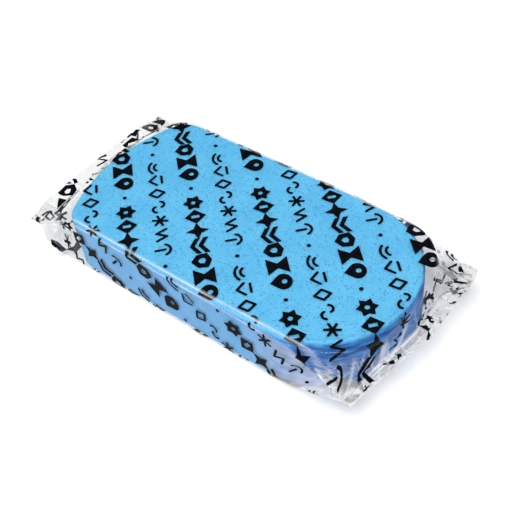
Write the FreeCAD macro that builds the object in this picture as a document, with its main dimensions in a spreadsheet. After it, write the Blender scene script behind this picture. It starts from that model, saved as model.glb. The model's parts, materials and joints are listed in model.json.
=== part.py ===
import FreeCAD, Part
import math
import os

import Sketcher

# A slab of detailing clay sealed in one web of clear film. Millimetres, +Z up, X along the slab.
# The origin is the centre of the pack on the surface it lies on. "Left" is -X, "near" is -Y.
# The film is drawn thicker than it is, as panels that part at the folds of the web.

vector = FreeCAD.Vector

DIMENSIONS = (
    ("film", 0.2),  # drawn thickness of one film layer
    ("pack_reach", 63.8),  # centre of the pack to the cut edge of either end fin
    ("sleeve_width", 56.0),  # over the film, across the slab
    ("sleeve_tall", 20.6),  # over the film, from the rest face to the top panel
    ("fold_round", 1.2),  # outside radius of the long folds
    ("clay_side_gap", 0.3),  # film to clay along each long side
    ("clay_face_gap", 0.1),  # film to clay above and below
    ("clay_left", 51.9),  # centre to the middle of the bowed end
    ("clay_right", 56.8),  # centre to the middle of the round end
    ("clay_round", 26.5),  # corner radius of the round end
    ("clay_bow", 55.0),  # radius of the bowed end
    ("clay_corner", 8.0),  # corner radius of the bowed end
    ("clay_edge", 1.5),  # rounding of the slab's top and bottom rims
    ("skirt_left", 52.4),  # centre to the end of the flat film at the left
    ("skirt_right", 57.4),  # the same at the right
    ("skirt_round", 19.0),  # corner radius of the flat film at the right
    ("skirt_corner", 6.0),  # corner radius of the flat film at the left
    ("seam_width", 10.0),  # back seam, folded flat under the slab
    ("seam_gap", 0.2),  # back seam to its neighbours
    ("fin_width", 60.0),  # end fins, across the pack
    ("left_fin_height", 13.0),  # middle of the left fin above the rest face
    ("right_fin_height", 12.0),  # middle of the right fin above the rest face
    ("left_fin_root", 57.6),  # centre to the fold line where the left fin starts
    ("right_fin_root", 58.8),  # centre to the fold line where the right fin starts
    ("fin_gap", 0.5),  # fold line to the welded part of the fin
    ("layer_gap", 0.12),  # half the gap between the two layers at a fold line
    ("skirt_gap", 0.4),  # flat film to the end folds round it
    ("tuck_depth", 8.0),  # how far the sides are tucked in at an end fin
    ("tuck_inset", 0.5),  # tucked sides to the ridges above and below them
    ("tuck_stop", 2.5),  # tucked sides to the fold line
)

ARC_STEPS = 8  # facets across each corner of an end fold
BOW_STEPS = 8  # facets across half of the bowed end

doc = FreeCAD.newDocument("clay_bar_pack")
sheet = doc.addObject("Spreadsheet::Sheet", "Dimensions")
for row, (alias, value) in enumerate(DIMENSIONS, start=1):
    sheet.set(f"A{row}", alias)
    sheet.set(f"B{row}", str(value))
    sheet.setAlias(f"B{row}", alias)
doc.recompute()
size = {alias: float(sheet.get(alias)) for alias, _ in DIMENSIONS}


def cell(formula):
    """A formula over the sheet's aliases, as an expression."""
    words = sorted(size, key=len, reverse=True)
    text = formula
    for number, word in enumerate(words):
        text = text.replace(word, f"<{number}>")
    for number, word in enumerate(words):
        text = text.replace(f"<{number}>", f"Dimensions.{word}")
    return text


def new_body(label):
    body = doc.addObject("PartDesign::Body", label)
    body.Label = label
    return body


def sketch_on(body, role, name, lift=None):
    """A sketch on one of the body's origin planes, moved along its normal by a formula."""
    plane = next(f for f in body.Origin.OriginFeatures if f.Role == role)
    sketch = body.newObject("Sketcher::SketchObject", name)
    sketch.AttachmentSupport = [(plane, "")]
    sketch.MapMode = "FlatFace"
    if lift:
        sketch.setExpression("AttachmentOffset.Base.z", cell(lift))
    return sketch


def bind(sketch, kind, places, start, name, formula):
    """A dimension of the sketch that follows a formula over the sheet."""
    index = sketch.addConstraint(Sketcher.Constraint(kind, *places, start))
    sketch.renameConstraint(index, name)
    sketch.setExpression(f"Constraints.{name}", cell(formula))


def pad(body, sketch, formula):
    feature = body.newObject("PartDesign::Pad", f"{sketch.Name}_pad")
    feature.Profile = sketch
    feature.setExpression("Length", cell(formula))
    return feature


def bow_corner(half_width, left, bow, corner):
    """Centre of the corner arc between a straight side and the bowed end, for the near side."""
    bow_centre = bow - left
    run = math.sqrt((bow - corner) ** 2 - (half_width - corner) ** 2)
    return vector(bow_centre - run, corner - half_width, 0)


def outline(sketch, names):
    """The slab's outline: straight sides, a bowed end at the left and a round end at the right.

    names gives the formulas of half_width, left, right, round, bow and corner.
    """
    value = {key: size_of(formula) for key, formula in names.items()}
    half = value["half_width"]
    big = value["round"]
    small = value["corner"]
    right = value["right"]
    bow_centre = vector(value["bow"] - value["left"], 0, 0)
    near_small = bow_corner(half, value["left"], value["bow"], small)
    far_small = vector(near_small.x, -near_small.y, 0)
    meet = math.atan2(near_small.y, near_small.x - bow_centre.x) + 2 * math.pi
    up = vector(0, 0, 1)

    def arc(centre, radius, first, last):
        return Part.ArcOfCircle(Part.Circle(centre, up, radius), first, last)

    quarter = math.pi / 2
    near_big = vector(right - big, big - half, 0)
    far_big = vector(right - big, half - big, 0)
    pieces = (
        Part.LineSegment(vector(near_small.x, -half, 0), vector(near_big.x, -half, 0)),
        arc(near_big, big, -quarter, 0),
        Part.LineSegment(vector(right, near_big.y, 0), vector(right, far_big.y, 0)),
        arc(far_big, big, 0, quarter),
        Part.LineSegment(vector(far_big.x, half, 0), vector(far_small.x, half, 0)),
        arc(far_small, small, quarter, 2 * math.pi - meet),
        arc(bow_centre, value["bow"], 2 * math.pi - meet, meet),
        arc(near_small, small, meet, 3 * quarter),
    )
    side, turn, end, far_turn, far_side, far_knee, bowed, knee = (
        sketch.addGeometry(piece, False) for piece in pieces
    )
    first, last, middle = 1, 2, 3
    for one, one_end, other, other_end in (
        (side, last, turn, first),
        (turn, last, end, first),
        (end, last, far_turn, first),
        (far_turn, last, far_side, first),
        (far_side, last, far_knee, first),
        (far_knee, last, bowed, first),
        (bowed, last, knee, first),
        (knee, last, side, first),
    ):
        sketch.addConstraint(Sketcher.Constraint("Tangent", one, one_end, other, other_end))
    sketch.addConstraint(Sketcher.Constraint("Horizontal", side))
    sketch.addConstraint(Sketcher.Constraint("Horizontal", far_side))
    sketch.addConstraint(Sketcher.Constraint("Vertical", end))
    sketch.addConstraint(Sketcher.Constraint("PointOnObject", bowed, middle, -1))
    bind(sketch, "Radius", (turn,), big, "near_round", names["round"])
    bind(sketch, "Radius", (far_turn,), big, "far_round", names["round"])
    bind(sketch, "Radius", (knee,), small, "near_corner", names["corner"])
    bind(sketch, "Radius", (far_knee,), small, "far_corner", names["corner"])
    bind(sketch, "Radius", (bowed,), value["bow"], "bow", names["bow"])
    bow_formula = f"({names['bow']}) - ({names['left']})"
    bind(sketch, "DistanceX", (-1, 1, bowed, middle), bow_centre.x, "bow_centre", bow_formula)
    bind(sketch, "DistanceX", (-1, 1, end, first), right, "right", names["right"])
    bind(sketch, "DistanceY", (side, first, -1, 1), half, "near_half", names["half_width"])
    bind(sketch, "DistanceY", (-1, 1, far_side, first), half, "far_half", names["half_width"])


def size_of(formula):
    """The value of a sum, difference or share of sheet aliases."""
    total = 0.0
    for term in formula.replace("-", "+-").split("+"):
        term = term.strip()
        if not term:
            continue
        sign = -1 if term.startswith("-") else 1
        word, _, divisor = term.lstrip("- ").partition("/")
        total += sign * size[word.strip()] / float(divisor or 1)
    return total


CLAY = {
    "half_width": "sleeve_width/2 - film - clay_side_gap",
    "left": "clay_left",
    "right": "clay_right",
    "round": "clay_round",
    "bow": "clay_bow",
    "corner": "clay_corner",
}
SKIRT = {
    "half_width": "sleeve_width/2 - fold_round",
    "left": "skirt_left",
    "right": "skirt_right",
    "round": "skirt_round",
    "bow": "clay_bow",
    "corner": "skirt_corner",
}
SKIRT_HALF = size_of(SKIRT["half_width"])
LEFT_MOUTH = bow_corner(SKIRT_HALF, size["skirt_left"], size["clay_bow"], size["skirt_corner"]).x
RIGHT_MOUTH = size["skirt_right"] - size["skirt_round"]


def rectangle(sketch, low, high, formulas):
    """A rectangle from low to high; formulas gives its left, right, bottom and top edges."""
    corners = (low, vector(high.x, low.y, 0), high, vector(low.x, high.y, 0))
    lines = [
        sketch.addGeometry(Part.LineSegment(corners[i], corners[(i + 1) % 4]), False)
        for i in range(4)
    ]
    for index in range(4):
        follower = lines[(index + 1) % 4]
        sketch.addConstraint(Sketcher.Constraint("Coincident", lines[index], 2, follower, 1))
    for index, kind in enumerate(("Horizontal", "Vertical", "Horizontal", "Vertical")):
        sketch.addConstraint(Sketcher.Constraint(kind, lines[index]))
    for name, kind, point, start in (
        ("left", "DistanceX", (lines[0], 1), low.x),
        ("right", "DistanceX", (lines[2], 1), high.x),
        ("bottom", "DistanceY", (lines[0], 1), low.y),
        ("top", "DistanceY", (lines[2], 1), high.y),
    ):
        bind(sketch, kind, (-1, 1) + point, start, name, formulas[name])


def clay_bar():
    """The slab, with the shallow groove that the back seam presses into its underside."""
    body = new_body("clay_bar")
    plan = sketch_on(body, "XY_Plane", "clay_plan", "film + clay_face_gap")
    outline(plan, CLAY)
    slab = pad(body, plan, "sleeve_tall - 2*film - 2*clay_face_gap")
    doc.recompute()
    rims = [
        f"Edge{number}"
        for number, edge in enumerate(slab.Shape.Edges, start=1)
        if edge.BoundBox.ZLength < 1e-6
    ]
    rounding = body.newObject("PartDesign::Fillet", "rim_rounding")
    rounding.Base = (slab, rims)
    rounding.setExpression("Radius", cell("clay_edge"))
    doc.recompute()
    groove_plan = sketch_on(body, "XY_Plane", "groove_plan")
    reach = size["pack_reach"]
    half = size["seam_width"] / 2 + size["seam_gap"]
    rectangle(
        groove_plan,
        vector(-reach, -half, 0),
        vector(reach, half, 0),
        {
            "left": "-pack_reach",
            "right": "pack_reach",
            "bottom": "-seam_width/2 - seam_gap",
            "top": "seam_width/2 + seam_gap",
        },
    )
    groove = body.newObject("PartDesign::Pocket", "seam_groove")
    groove.Profile = groove_plan
    groove.Reversed = True
    groove.setExpression("Length", cell("2*film + 2*clay_face_gap"))
    doc.recompute()
    body.Tip = groove
    assert groove.Shape.Volume < rounding.Shape.Volume
    return body


def flat_panel(label, lift, cut=None):
    """A flat film panel of the skirt's outline; cut names the side that a base panel keeps."""
    body = new_body(label)
    plan = sketch_on(body, "XY_Plane", f"{label}_plan", lift)
    outline(plan, SKIRT)
    sheet_pad = pad(body, plan, "film")
    doc.recompute()
    if cut:
        half = size["sleeve_width"]
        inner = size["seam_width"] / 2 + size["seam_gap"]
        waste = sketch_on(body, "XY_Plane", f"{label}_waste", "film")
        reach = size["pack_reach"]
        if cut == "near":
            low, high = vector(-reach, -inner, 0), vector(reach, half, 0)
            edges = {"bottom": "-seam_width/2 - seam_gap", "top": "sleeve_width"}
        else:
            low, high = vector(-reach, -half, 0), vector(reach, inner, 0)
            edges = {"bottom": "-sleeve_width", "top": "seam_width/2 + seam_gap"}
        rectangle(waste, low, high, {"left": "-pack_reach", "right": "pack_reach", **edges})
        pocket = body.newObject("PartDesign::Pocket", f"{label}_cut")
        pocket.Profile = waste
        pocket.setExpression("Length", cell("2*film"))
        doc.recompute()
        assert pocket.Shape.Volume < 0.5 * sheet_pad.Shape.Volume
        body.Tip = pocket
    return body


def side_panel(label, side):
    """A side of the sleeve with its two long folds, between the mouths of the two ends."""
    body = new_body(label)
    section = sketch_on(body, "YZ_Plane", f"{label}_section")
    wall = side * size["sleeve_width"] / 2
    outer = size["fold_round"]
    inner = outer - size["film"]
    tall = size["sleeve_tall"]
    centre_y = wall - side * outer
    lower = vector(centre_y, outer, 0)
    upper = vector(centre_y, tall - outer, 0)
    up = vector(0, 0, 1)
    quarter = math.pi / 2
    low_span = (2 * quarter, 3 * quarter) if side < 0 else (3 * quarter, 4 * quarter)
    high_span = (quarter, 2 * quarter) if side < 0 else (0, quarter)
    inner_y = wall - side * size["film"]
    pieces = (
        Part.LineSegment(vector(wall, lower.y, 0), vector(wall, upper.y, 0)),
        Part.ArcOfCircle(Part.Circle(upper, up, outer), *high_span),
        Part.LineSegment(vector(centre_y, tall, 0), vector(centre_y, tall - size["film"], 0)),
        Part.ArcOfCircle(Part.Circle(upper, up, inner), *high_span),
        Part.LineSegment(vector(inner_y, upper.y, 0), vector(inner_y, lower.y, 0)),
        Part.ArcOfCircle(Part.Circle(lower, up, inner), *low_span),
        Part.LineSegment(vector(centre_y, size["film"], 0), vector(centre_y, 0, 0)),
        Part.ArcOfCircle(Part.Circle(lower, up, outer), *low_span),
    )
    wall_line, high_out, high_cut, high_in, inner_line, low_in, low_cut, low_out = (
        section.addGeometry(piece, False) for piece in pieces
    )
    start, finish, middle = 1, 2, 3
    near_wall, at_face = (finish, start) if side < 0 else (start, finish)
    low_wall, low_face = (start, finish) if side < 0 else (finish, start)
    join = section.addConstraint
    join(Sketcher.Constraint("Tangent", wall_line, finish, high_out, near_wall))
    join(Sketcher.Constraint("Coincident", high_out, at_face, high_cut, start))
    join(Sketcher.Constraint("Coincident", high_cut, finish, high_in, at_face))
    join(Sketcher.Constraint("Tangent", high_in, near_wall, inner_line, start))
    join(Sketcher.Constraint("Tangent", inner_line, finish, low_in, low_wall))
    join(Sketcher.Constraint("Coincident", low_in, low_face, low_cut, start))
    join(Sketcher.Constraint("Coincident", low_cut, finish, low_out, low_face))
    join(Sketcher.Constraint("Tangent", low_out, low_wall, wall_line, start))
    join(Sketcher.Constraint("Vertical", wall_line))
    join(Sketcher.Constraint("Vertical", high_cut))
    join(Sketcher.Constraint("Vertical", low_cut))
    join(Sketcher.Constraint("Coincident", high_out, middle, high_in, middle))
    join(Sketcher.Constraint("Coincident", low_out, middle, low_in, middle))
    join(Sketcher.Constraint("Vertical", high_out, middle, high_cut, start))
    join(Sketcher.Constraint("Vertical", low_out, middle, low_cut, start))
    bind(section, "Radius", (high_out,), outer, "high_round", "fold_round")
    bind(section, "Radius", (low_out,), outer, "low_round", "fold_round")
    bind(section, "Radius", (high_in,), inner, "high_inner", "fold_round - film")
    bind(section, "DistanceY", (-1, 1, low_out, middle), outer, "base_height", "fold_round")
    top_formula = "sleeve_tall - fold_round"
    bind(section, "DistanceY", (-1, 1, high_out, middle), upper.y, "top_height", top_formula)
    if side < 0:
        bind(section, "DistanceX", (wall_line, start, -1, 1), -wall, "reach", "sleeve_width/2")
    else:
        bind(section, "DistanceX", (-1, 1, wall_line, start), wall, "reach", "sleeve_width/2")
    run = body.newObject("PartDesign::Pad", f"{label}_run")
    run.Profile = section
    run.Length = RIGHT_MOUTH - LEFT_MOUTH
    body.Placement = FreeCAD.Placement(vector(LEFT_MOUTH, 0, 0), FreeCAD.Rotation())
    return body


def back_seam():
    """The long seam of the web: both edges welded face to face and folded flat."""
    strip = doc.addObject("Part::Box", "wrapper_back_seam")
    strip.Label = "wrapper_back_seam"
    strip.setExpression("Length", cell("skirt_left + skirt_right - 2*seam_gap"))
    strip.setExpression("Width", cell("seam_width"))
    strip.setExpression("Height", cell("2*film"))
    strip.setExpression("Placement.Base.x", cell("seam_gap - skirt_left"))
    strip.setExpression("Placement.Base.y", cell("-seam_width/2"))
    return strip


def end_fin(label, side, height):
    """A welded end fin: two film layers, cut square across the pack."""
    name = label.split("_")[0]
    fin = doc.addObject("Part::Box", label)
    fin.Label = label
    root = f"{name}_fin_root"
    fin.setExpression("Length", cell(f"pack_reach - {root} - fin_gap"))
    fin.setExpression("Width", cell("fin_width"))
    fin.setExpression("Height", cell("2*film"))
    start = f"{root} + fin_gap" if side > 0 else "-pack_reach"
    fin.setExpression("Placement.Base.x", cell(start))
    fin.setExpression("Placement.Base.y", cell("-fin_width/2"))
    fin.setExpression("Placement.Base.z", cell(f"{height} - film"))
    return fin


def film_panel(label, rows, inward):
    """A thin solid over a grid of outer points, thickened towards the point inward."""
    along = rows[1][0] - rows[0][0]
    if along.cross(rows[0][1] - rows[0][0]).dot(inward - rows[0][0]) > 0:
        rows = [row[::-1] for row in rows]
    count = len(rows[0])
    span = range(len(rows))

    def normal(i, j):
        a = rows[min(i + 1, len(rows) - 1)][j] - rows[max(i - 1, 0)][j]
        b = rows[i][min(j + 1, count - 1)] - rows[i][max(j - 1, 0)]
        return -a.cross(b).normalize()

    inner = [[rows[i][j] + normal(i, j) * size["film"] for j in range(count)] for i in span]
    quads = []
    last_row = len(rows) - 1
    last = count - 1
    for i in range(last_row):
        for j in range(last):
            quads.append((rows[i][j], rows[i + 1][j], rows[i + 1][j + 1], rows[i][j + 1]))
            quads.append((inner[i][j], inner[i][j + 1], inner[i + 1][j + 1], inner[i + 1][j]))
    for j in range(last):
        quads.append((rows[0][j], rows[0][j + 1], inner[0][j + 1], inner[0][j]))
        end, end_inner = rows[last_row], inner[last_row]
        quads.append((end[j + 1], end[j], end_inner[j], end_inner[j + 1]))
    for i in range(last_row):
        quads.append((rows[i + 1][0], rows[i][0], inner[i][0], inner[i + 1][0]))
        quads.append((rows[i][last], rows[i + 1][last], inner[i + 1][last], inner[i][last]))
    faces = []
    for a, b, c, d in quads:
        for corners in ((a, b, c), (a, c, d)):
            faces.append(Part.Face(Part.makePolygon([*corners, corners[0]])))
    solid = Part.Solid(Part.Shell(faces))
    piece = doc.addObject("Part::Feature", label)
    piece.Label = label
    piece.Shape = solid
    piece.Placement = FreeCAD.Placement()
    return piece


def skirt_edge(side):
    """Points just outside the flat film's edge round one end, from near mouth to far mouth.

    Each comes with its share of the way along the fold line of the end fin.
    """
    half = SKIRT_HALF
    gap = size["skirt_gap"]
    if side > 0:
        corner = size["skirt_round"]
        centre = vector(RIGHT_MOUTH, corner - half, 0)
        turn = math.pi / 2
        bowed = []
    else:
        corner = size["skirt_corner"]
        centre = bow_corner(half, size["skirt_left"], size["clay_bow"], corner)
        bow_centre = vector(size["clay_bow"] - size["skirt_left"], 0, 0)
        towards = centre - bow_centre
        turn = math.atan2(-towards.x, -towards.y)
        sweep = math.pi / 2 - turn
        bowed = [
            bow_centre + vector(-math.cos(a), -math.sin(a), 0) * (size["clay_bow"] + gap)
            for a in (sweep * k / BOW_STEPS for k in range(BOW_STEPS - 1, -1, -1))
        ]
    near = [
        centre + vector(side * math.sin(a), -math.cos(a), 0) * (corner + gap)
        for a in (turn * k / ARC_STEPS for k in range(ARC_STEPS + 1))
    ]
    near += bowed
    mirror = near[:-1] if bowed else near
    edge = near + [vector(p.x, -p.y, 0) for p in reversed(mirror)]
    travelled = [0.0]
    for before, after in zip(edge, edge[1:]):
        travelled.append(travelled[-1] + before.distanceToPoint(after))
    return [(p, way / travelled[-1]) for p, way in zip(edge, travelled)]


def end_folds(name, side):
    """The film between the sleeve and an end fin: upper and lower folds and two tucks."""
    height = size[f"{name}_fin_height"]
    root_x = side * size[f"{name}_fin_root"]
    half_fin = size["fin_width"] / 2
    tall = size["sleeve_tall"]
    gap = size["layer_gap"] + size["film"]
    inside = vector(0, 0, height)
    panels = []
    for level, label, lift in ((tall, "upper", gap), (0.0, "lower", -gap)):
        top = [vector(p.x, p.y, level) for p, _ in skirt_edge(side)]
        root = [
            vector(root_x, half_fin * (2 * share - 1), height + lift)
            for _, share in skirt_edge(side)
        ]
        panels.append(film_panel(f"{name}_end_{label}_fold", [top, root], inside))
    mouth = RIGHT_MOUTH if side > 0 else LEFT_MOUTH
    mouth += side * size["seam_gap"]
    inset = size["tuck_inset"]
    ridge = size["fold_round"]
    stop = root_x - side * size["tuck_stop"]
    share = (stop - mouth) / (root_x - mouth)
    for label, hand in (("near", -1), ("far", 1)):
        wall = hand * size["sleeve_width"] / 2
        fin_edge = hand * (half_fin - inset)
        end_y = wall + (fin_edge - wall) * share
        valley_y = end_y - hand * size["tuck_depth"] * share
        top_z = tall - ridge + (height + gap - tall + ridge) * share
        low_z = ridge + (height - gap - ridge) * share
        squeeze = inset + size["film"]
        start = [
            vector(mouth, wall, ridge),
            vector(mouth, wall, height),
            vector(mouth, wall, tall - ridge),
        ]
        finish = [
            vector(stop, end_y, low_z + squeeze),
            vector(stop, valley_y, height),
            vector(stop, end_y, top_z - squeeze),
        ]
        panels.append(film_panel(f"{name}_end_{label}_tuck", [start, finish], inside))
    return panels


parts = [
    clay_bar(),
    flat_panel("wrapper_top_panel", "sleeve_tall - film"),
    flat_panel("wrapper_base_near", "0*film", cut="near"),
    flat_panel("wrapper_base_far", "0*film", cut="far"),
    side_panel("wrapper_near_side", -1),
    side_panel("wrapper_far_side", 1),
    back_seam(),
    end_fin("left_end_fin", -1, "left_fin_height"),
    end_fin("right_end_fin", 1, "right_fin_height"),
]
parts += end_folds("left", -1)
parts += end_folds("right", 1)

doc.recompute()

for item in doc.Objects:
    bad = [flag for flag in item.State if flag in ("Invalid", "Error")]
    if bad:
        raise RuntimeError(f"{item.Label}: {bad}")

os.makedirs("parts", exist_ok=True)
for item in parts:
    shape = item.Shape
    if shape.isNull() or not shape.isValid() or not shape.Solids:
        raise RuntimeError(f"{item.Label}: no valid solid")
    shape.exportStep(f"parts/{item.Label}.step")
    box = shape.BoundBox
    print(f"{item.Label:24s} {shape.Volume:10.1f} mm3  z {box.ZMin:.2f}..{box.ZMax:.2f}")
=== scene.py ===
import json
import math

import bpy
import numpy as np
from mathutils import Matrix, Vector, geometry


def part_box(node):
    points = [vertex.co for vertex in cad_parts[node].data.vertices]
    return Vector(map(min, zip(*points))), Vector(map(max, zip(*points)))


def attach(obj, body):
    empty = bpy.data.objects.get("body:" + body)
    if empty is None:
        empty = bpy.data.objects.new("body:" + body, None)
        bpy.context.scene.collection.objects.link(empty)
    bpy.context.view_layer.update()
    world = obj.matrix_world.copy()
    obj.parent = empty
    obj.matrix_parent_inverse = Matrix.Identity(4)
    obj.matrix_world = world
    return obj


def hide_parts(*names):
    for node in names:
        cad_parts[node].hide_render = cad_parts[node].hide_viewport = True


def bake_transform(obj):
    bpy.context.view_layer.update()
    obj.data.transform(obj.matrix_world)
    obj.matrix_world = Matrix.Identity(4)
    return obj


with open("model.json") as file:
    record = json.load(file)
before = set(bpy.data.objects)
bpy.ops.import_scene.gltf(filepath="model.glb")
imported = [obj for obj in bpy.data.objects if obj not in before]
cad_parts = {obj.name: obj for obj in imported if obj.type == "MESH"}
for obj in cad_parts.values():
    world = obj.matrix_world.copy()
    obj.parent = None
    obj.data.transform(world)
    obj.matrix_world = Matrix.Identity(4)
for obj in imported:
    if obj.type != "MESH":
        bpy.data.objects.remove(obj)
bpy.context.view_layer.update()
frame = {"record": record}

# A slab of detailing clay in a printed, clear film wrapper. Lengths in this script are
# millimetres, in the frame's axes, and MM turns them into Blender's metres.
MM = 0.001


def box_mm(node):
    """Lowest and highest corner of a CAD node, in millimetres."""
    low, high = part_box(node)
    return np.array(low) / MM, np.array(high) / MM


def joint_mm(name):
    """Where a joint's axis is, in millimetres."""
    joints = frame["record"]["behaviour"]["joints"]
    return np.array(next(j for j in joints if j["name"] == name)["pos_m"]) / MM


# Sizes of the pack, read from the frame. In pairs, -1 is the left end and 1 the right one.
HALF_WIDTH = box_mm("wrapper_far_side")[1][1]
TALL = box_mm("wrapper_top_panel")[1][2]
CLAY_LOW, CLAY_HIGH = box_mm("clay_bar")
SKIRT_LOW, SKIRT_HIGH = box_mm("wrapper_top_panel")
SIDE_LOW, SIDE_HIGH = box_mm("wrapper_near_side")
SKIRT_HALF = SKIRT_HIGH[1]
ROOT = {-1: joint_mm("left_fin_flex"), 1: joint_mm("right_fin_flex")}
FIN_EDGE = {-1: box_mm("left_end_fin")[0][0], 1: box_mm("right_end_fin")[1][0]}
FIN_HALF = box_mm("left_end_fin")[1][1]
MOUTH = {-1: SIDE_LOW[0], 1: SIDE_HIGH[0]}
SKIRT_END = {-1: SKIRT_LOW[0], 1: SKIRT_HIGH[0]}

BOW_RADIUS = 55.0  # bowed end of the slab and of the flat film over it
CORNER_RADIUS = 6.0  # near-square corners of the flat film at the left end
GIRTH_HALF = 2 * HALF_WIDTH + TALL  # half the web's width, seam to seam
SIDE_FOOT = HALF_WIDTH + TALL  # distance round the web to the foot of a long side
TUCK_DEPTH = 0.5 * GIRTH_HALF - FIN_HALF  # how deep the sides tuck in at a fin
ROOT_DRAW = 0.62  # share of a fin edge's draw that its fold line follows
FAR_NARROWING = 0.94  # the right fin is a little narrower on its far side
LOW_REACH = {-1: -50.0, 1: 30.0}  # where the film lifts off at the foot of the long sides
LOW_BEVEL = 0.9  # width of the bevel along the lower long folds
LAYER = 0.16  # half the gap between the outer layers of a fin
FOOT_BULGE = {-1: 2.0, 1: 0.4}  # how far the film of the ends bellies out at the foot
NEAR_TIP = (57.0, -33.0)  # the gathered corner of the right fin, where its pleats meet
FINE_PLEAT, BOLD_PLEAT = 0.072, 0.27  # spacing of the pleats at that corner, in radians
HAZY_SPOT = (56.0, -27.0)  # middle of the milky film beside that corner
LOWEST_FILM = 0.04  # the film stays this far above the ground

# Fineness of the film's grid.
COLUMN_STEP = 0.5
SLEEVE_STEP = 0.8
END_ROWS = 56
FIN_ROWS = 22

# Camera: it looks down on the pack from the front and the right. Angles are in degrees.
CAMERA_PLACE = (125.1, -126.7, 195.0)
CAMERA_AZIMUTH = 43.54
CAMERA_ELEVATION = 46.89
CAMERA_ROLL = -7.30
CAMERA_LENS = 60.4
SENSOR_WIDTH = 36.0


# ------------ small tools


def bell(value, width):
    """A smooth bump: 1 where value is 0, and nearly 0 two widths away."""
    return np.exp(-((value / width) ** 2))


def smooth_step(value, low, high):
    t = np.clip((value - low) / (high - low), 0, 1)
    return t * t * (3 - 2 * t)


def noise(x, y, seed):
    """Gradient noise, about -0.7 to 0.7, with cells one unit wide."""
    cells = 97
    angle = np.random.default_rng(seed).uniform(0, 2 * math.pi, (cells, cells))
    x0, y0 = np.floor(x).astype(int), np.floor(y).astype(int)
    fx, fy = x - x0, y - y0
    ease_x = fx**3 * (fx * (fx * 6 - 15) + 10)
    ease_y = fy**3 * (fy * (fy * 6 - 15) + 10)

    def corner(i, j):
        a = angle[(x0 + i) % cells, (y0 + j) % cells]
        return np.cos(a) * (fx - i) + np.sin(a) * (fy - j)

    low = corner(0, 0) + ease_x * (corner(1, 0) - corner(0, 0))
    high = corner(0, 1) + ease_x * (corner(1, 1) - corner(0, 1))
    return low + ease_y * (high - low)


def creases(x, y, seed):
    """Noise folded about zero, so that it runs in sharp creases with smooth faces between."""
    return np.abs(noise(x, y, seed)) * 2 - 0.45


def turned(x, y, degrees):
    a = math.radians(degrees)
    return x * math.cos(a) + y * math.sin(a), y * math.cos(a) - x * math.sin(a)


def smooth(grid, rounds, axis):
    """Moves each point of the grid towards its two neighbours along one axis."""
    rows = np.swapaxes(grid, 0, axis)
    for _ in range(rounds):
        rows[1:-1] = 0.25 * rows[:-2] + 0.5 * rows[1:-1] + 0.25 * rows[2:]


def grid_normals(grid):
    along = np.gradient(grid, axis=0)
    across = np.gradient(grid, axis=1)
    normal = np.cross(along, across)
    return normal / np.maximum(np.linalg.norm(normal, axis=2, keepdims=True), 1e-9)


def new_mesh(name, points, faces, material, normals=None):
    """A Blender object from millimetre points."""
    mesh = bpy.data.meshes.new(name)
    mesh.from_pydata((np.asarray(points) * MM).tolist(), [], faces)
    mesh.polygons.foreach_set("use_smooth", [True] * len(mesh.polygons))
    mesh.materials.append(material)
    mesh.validate()
    if normals is not None:
        mesh.normals_split_custom_set_from_vertices(np.asarray(normals).tolist())
    mesh.update()
    piece = bpy.data.objects.new(name, mesh)
    bpy.context.scene.collection.objects.link(piece)
    return piece


# ------------ the film web


def flat_reach(y, side):
    """How far along X the film stays flat over the slab, at a distance y from the middle."""
    y = np.minimum(np.abs(y), SKIRT_HALF)
    if side > 0:
        radius = SKIRT_END[1] - MOUTH[1]
        past = np.maximum(y - (SKIRT_HALF - radius), 0)
        return MOUTH[1] + np.sqrt(np.maximum(radius**2 - past**2, 0))
    bow = SKIRT_END[-1] + BOW_RADIUS - np.sqrt(BOW_RADIUS**2 - y**2)
    past = np.maximum(y - (SKIRT_HALF - CORNER_RADIUS), 0)
    lift = CORNER_RADIUS - np.sqrt(np.maximum(CORNER_RADIUS**2 - past**2, 0))
    return np.minimum(bow + lift, MOUTH[-1])


def reach(web, side):
    """How far along X each column of the web stays on the sleeve."""
    far = np.abs(web)
    down = np.clip((far - HALF_WIDTH) / TALL, 0, 1)
    on_side = MOUTH[side] + (LOW_REACH[side] - MOUTH[side]) * down**1.3
    across = np.clip((GIRTH_HALF - far) / HALF_WIDTH, 0, 1)
    round_off = np.sqrt(1 - across**2) if side > 0 else 1 - across**2
    on_base = LOW_REACH[side] + (SKIRT_END[side] - LOW_REACH[side]) * round_off
    below = np.where(far <= SIDE_FOOT, on_side, on_base)
    return np.where(far <= HALF_WIDTH, flat_reach(far, side), below)


def pulled_in(y, side):
    """How far the cut edge of an end fin is drawn in, at a place y along it."""
    far_corner = smooth_step(y, 20, 30)
    if side < 0:
        near_corner = smooth_step(-y, 19, 30)
        return 2.2 * far_corner + 2.2 * near_corner
    gathered = np.clip((-1 - y) / 28, 0, 1) ** 0.85
    return 1.4 * far_corner + 5.4 * gathered


def fold_cut(x):
    """Width of the slack bevel along the long folds: the film gets looser to the right."""
    return 1.1 + 0.7 * smooth_step(x, 5, 38)


def bevel_share(far, fold, width):
    """How far across a long fold's bevel each column is, 0 to 1, and whether it is on it."""
    share = np.clip((far - (fold - width)) / (2 * width), 0, 1)
    return share, (far > fold - width) & (far < fold + width)


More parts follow.
